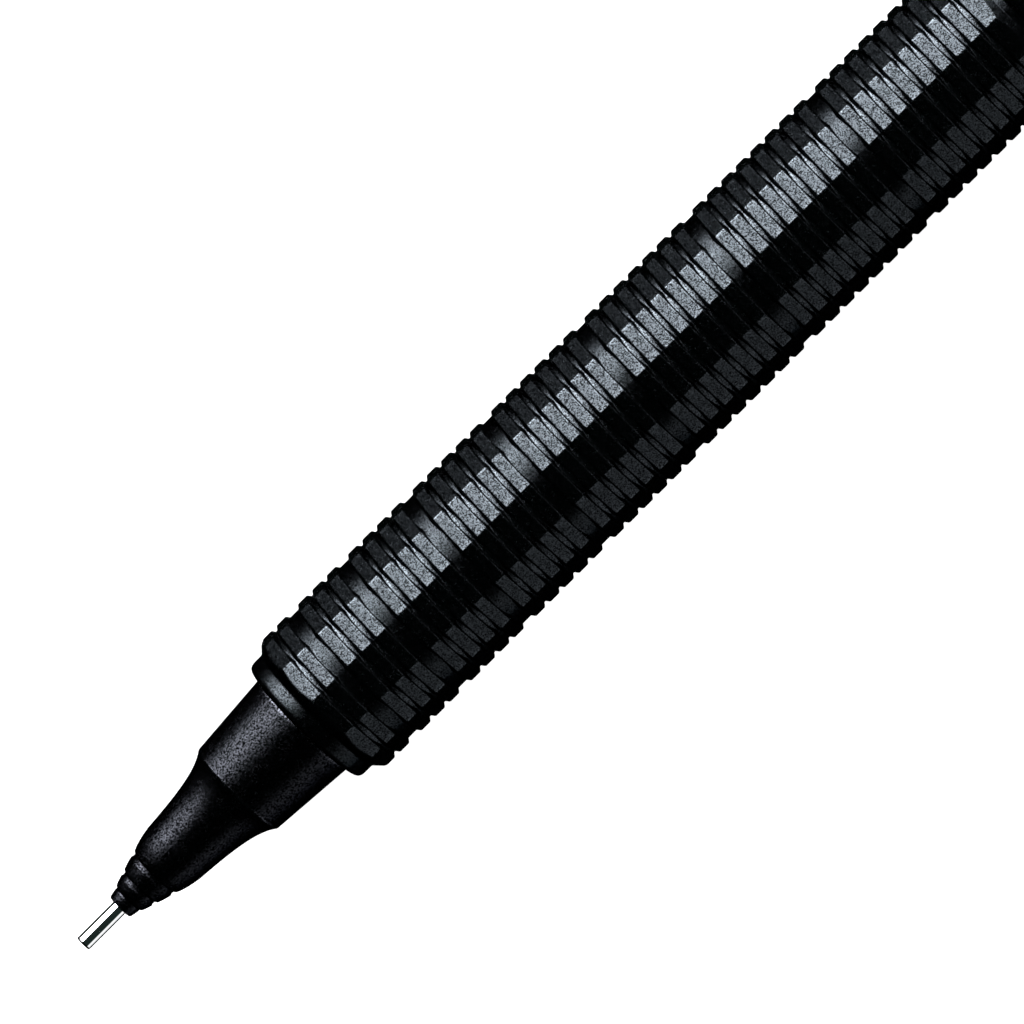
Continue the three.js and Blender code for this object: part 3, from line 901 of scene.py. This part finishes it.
def stand_for(piece, node, body, material):
    """A dressed piece that rides on one body."""
    dress(piece, node, material)
    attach(piece, body)


def add_spring(node, wire, turns, widened=0.0):
    """A coil in its CAD solid's place, between the bodies at its two ends."""
    coil = helix(node + "_coil", node, wire, turns, widened)
    dress(coil, node, SPRING_STEEL)
    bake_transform(coil)


stand_for(make_guide_pipe(), "guide_pipe", "sleeve", PIPE_STEEL)
stand_for(make_slider(), "slider", "sleeve", BRASS)
stand_for(make_lead_retainer(), "lead_retainer", "sleeve", RUBBER)

stand_for(make_nose_cone(), "nose_cone", "pencil", NOSE_METAL)
stand_for(make_barrel(), "barrel", "pencil", BARREL_RESIN)
stand_for(make_front_bush(), "front_bush", "pencil", BRASS)
stand_for(make_clutch_casing(), "clutch_casing", "pencil", BRASS)
stand_for(make_rear_bush(), "rear_bush", "pencil", NOSE_METAL)
stand_for(make_clip_ring(), "clip_ring", "pencil", CLIP_METAL)
stand_for(make_clip_arm(), "clip_arm", "clip", CLIP_METAL)

add_spring("slider_spring", 0.2, 9)
add_spring("clutch_spring", 0.25, 4, widened=0.2)
add_spring("main_spring", 0.35, 8)

stand_for(make_clutch_sleeve(), "clutch_sleeve", "clutch", CLUTCH_STEEL)
stand_for(make_lead("lead_in_use"), "lead_in_use", "clutch", GRAPHITE)
for half in ("upper", "lower"):
    ball = make_ball("ball_" + half, "clutch_ball_" + half)
    stand_for(ball, "clutch_ball_" + half, "jaw_" + half, CLUTCH_STEEL)

stand_for(make_tube_connector(), "tube_connector", "feed", BRASS)
stand_for(make_lead_tube(), "lead_tube", "feed", TUBE_PLASTIC)
for number in (1, 2, 3):
    spare = "spare_lead_%d" % number
    stand_for(make_lead(spare), spare, "feed", GRAPHITE)
stand_for(make_eraser_holder(), "eraser_holder", "feed", CLUTCH_STEEL)
stand_for(make_eraser(), "eraser", "eraser", ERASER)
stand_for(make_knock_cap(), "knock_cap", "cap", NOSE_METAL)


def finish_cad_node(node, material, bevel_mm):
    """A CAD node that stays: its own material, small rounded edges and flat faces."""
    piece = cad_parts[node]
    piece.data.materials.clear()
    piece.data.materials.append(material)
    rounding = piece.modifiers.new("rounded edges", "BEVEL")
    rounding.width = bevel_mm * MM
    rounding.segments = 2
    rounding.limit_method = "ANGLE"
    rounding.angle_limit = math.radians(35)
    rounding.harden_normals = True


for half in ("upper", "lower"):
    finish_cad_node("chuck_jaw_" + half, BRASS, 0.04)

# ---------------------------------------------------------------- floor, light and camera


def make_floor():
    half = 3.0
    mesh = bpy.data.meshes.new("floor")
    corners = [(-half, -half, FLOOR_Z), (half, -half, FLOOR_Z), (half, half, FLOOR_Z), (-half, half, FLOOR_Z)]
    mesh.from_pydata(corners, [], [(0, 1, 2, 3)])
    floor = add_object("floor", mesh)
    material = principled("pale_floor", (0.86, 0.86, 0.86), 0.9,
                          Emission_Color=(1, 1, 1, 1), Emission_Strength=0.95)
    patches = noise(material, 120, 2.0)
    tint = ramp(material, patches, [(0.3, (0.85, 0.85, 0.85)), (0.7, (0.88, 0.88, 0.88))])
    feed(material, tint, shader_of(material).inputs["Base Color"])
    floor.data.materials.append(material)
    floor.visible_glossy = False


def aimed(location, right, up, backward):
    """The matrix of a lamp or camera, which points the opposite way to backward."""
    return Matrix.Translation(location) @ Matrix((right, up, backward)).transposed().to_4x4()


# How far the overhead light leans from straight up: away from the near side
KEY_ANGLE = math.radians(-38)


def make_overhead_light():
    """A broad soft light for matt surfaces and the floor; its mirror image is part of the world."""
    distance, diameter, radiance = 0.7, 0.6, 2.2
    data = bpy.data.lights.new("overhead_softbox", "AREA")
    data.shape = "DISK"
    data.size = diameter
    area = math.pi * (0.5 * diameter) ** 2
    data.energy = radiance * math.pi * area
    toward = Vector((0, -math.sin(KEY_ANGLE), math.cos(KEY_ANGLE)))
    right = Vector((1, 0, 0))
    centre = Vector((TIP + 50 * MM, 0, AXIS_Z)) + distance * toward
    lamp = add_object("overhead_softbox", data)
    lamp.matrix_world = aimed(centre, right, toward.cross(right), toward)
    lamp.visible_camera = False
    lamp.visible_glossy = False


# What glossy surfaces mirror. Each stop is an angle in degrees and a level of light. Around the
# pencil's axis the angle runs from straight up toward the near side; the key softbox's is from its centre.
SIDE_STRIPS = [(-84, 0.0), (-74, 0.3), (-56, 0.3), (-50, 0.0), (84, 0.0), (94, 1.15), (128, 1.05), (142, 0.0)]
KEY_SOFTBOX = [(0, 1.0), (8, 0.48), (16, 0.33), (23, 0.25), (31, 0.13), (37, 0.02), (41, 0.0)]
REAR_SOFTBOX = [(-95, 0.0), (-70, 0.45), (-40, 1.0), (-10, 0.6), (25, 0.12), (60, 0.0)]
KEY_SLANT = math.radians(8)
KEY_LEVEL = 58
REAR_LEVEL = 9.0
DARK_ROOM = (0.013, 0.022, 0.019)


def make_world():
    """A dark studio with a round softbox overhead, a dim strip on each side and a softbox past the rear end.

    The camera sees it pale, and matt surfaces get an even fill from it.
    """
    world = bpy.data.worlds.new("studio")
    bpy.context.scene.world = world
    world.use_nodes = True
    world.cycles.sampling_method = "NONE"
    world.node_tree.nodes.clear()

    def calculate(operation, *values):
        made = add(world, "ShaderNodeMath", operation=operation)
        for value, socket in zip(values, made.inputs):
            feed(world, value, socket)
        return made.outputs[0]

    def smooth_step(value, low, high, out_low, out_high):
        return spread(world, value, low, high, out_low, out_high, interpolation_type="SMOOTHSTEP")

    def light_over(value, stops, position_of):
        return ramp(world, value, [(position_of(degrees), (level,) * 3) for degrees, level in stops])

    def background(color, strength=1.0):
        made = add(world, "ShaderNodeBackground")
        feed(world, color, made.inputs["Color"])
        feed(world, strength, made.inputs["Strength"])
        return made.outputs[0]

    def both(first, second):
        made = add(world, "ShaderNodeAddShader")
        feed(world, first, made.inputs[0])
        feed(world, second, made.inputs[1])
        return made.outputs[0]

    def either(condition, otherwise, chosen):
        made = add(world, "ShaderNodeMixShader")
        for value, socket in zip((condition, otherwise, chosen), made.inputs):
            feed(world, value, socket)
        return made.outputs[0]

    direction = add(world, "ShaderNodeTexCoord").outputs["Generated"]
    parts = add(world, "ShaderNodeSeparateXYZ")
    feed(world, direction, parts.inputs[0])
    rearward, farward, upward = parts.outputs
    around = calculate("ARCTAN2", calculate("MULTIPLY", farward, -1.0), upward)
    turn = calculate("ADD", calculate("DIVIDE", around, 2 * math.pi), 0.5)

    def turn_of(degrees):
        return degrees / 360 + 0.5

    strip_length = smooth_step(calculate("ABSOLUTE", rearward), 0.3, 0.7, 1.0, 0.0)
    strips = background(light_over(turn, SIDE_STRIPS, turn_of), strip_length)

    begin = smooth_step(rearward, 0.45, 0.62, 0.0, REAR_LEVEL)
    end = smooth_step(rearward, 0.86, 0.94, 1.0, 0.0)
    rear_softbox = background(light_over(turn, REAR_SOFTBOX, turn_of), calculate("MULTIPLY", begin, end))

    widest = 60
    flat = math.cos(KEY_SLANT)
    centre = (math.sin(KEY_SLANT), -math.sin(KEY_ANGLE) * flat, math.cos(KEY_ANGLE) * flat)
    nearness = add(world, "ShaderNodeVectorMath", operation="DOT_PRODUCT")
    feed(world, direction, nearness.inputs[0])
    feed(world, centre, nearness.inputs[1])
    from_centre = calculate("DIVIDE", calculate("ARCCOSINE", nearness.outputs["Value"]), math.radians(widest))
    key_light = light_over(from_centre, KEY_SOFTBOX, lambda degrees: degrees / widest)
    key_softbox = background(key_light, KEY_LEVEL)

    studio = both(both(background((*DARK_ROOM, 1)), strips), both(key_softbox, rear_softbox))
    fill = background((0.5, 0.5, 0.5, 1))
    pale = background((0.95, 0.95, 0.95, 1))
    ray = add(world, "ShaderNodeLightPath").outputs
    seen = either(ray["Is Camera Ray"], either(ray["Is Diffuse Ray"], studio, fill), pale)
    feed(world, seen, add(world, "ShaderNodeOutputWorld").inputs["Surface"])


def make_camera():
    """Looks down on the front half of the pencil, turned so that the point is at the lower left."""
    elevation = math.radians(69)
    distance = 0.661
    opposite_station, aim_station, aim_offset = 86.5, 37.43, 0.132
    view_width = 0.06255
    toward = Vector((0, -math.cos(elevation), math.sin(elevation)))
    sideways = Vector((0, math.sin(elevation), math.cos(elevation)))
    location = Vector((TIP + opposite_station * MM, 0, AXIS_Z)) + distance * toward
    aim = Vector((TIP + aim_station * MM, 0, AXIS_Z)) + aim_offset * MM * sideways
    back = (location - aim).normalized()
    along = Vector((1, 0, 0))
    along = (along - along.dot(back) * back).normalized()
    above = back.cross(along)
    data = bpy.data.cameras.new("camera")
    data.sensor_width = 36
    data.lens = data.sensor_width * (location - aim).length / view_width
    data.clip_start = 0.01
    data.clip_end = 20
    camera = add_object("camera", data)
    camera.matrix_world = aimed(location, (along - above).normalized(), (along + above).normalized(), back)
    bpy.context.scene.camera = camera


make_floor()
make_overhead_light()
make_world()
make_camera()
bpy.context.scene.view_settings.view_transform = "Standard"
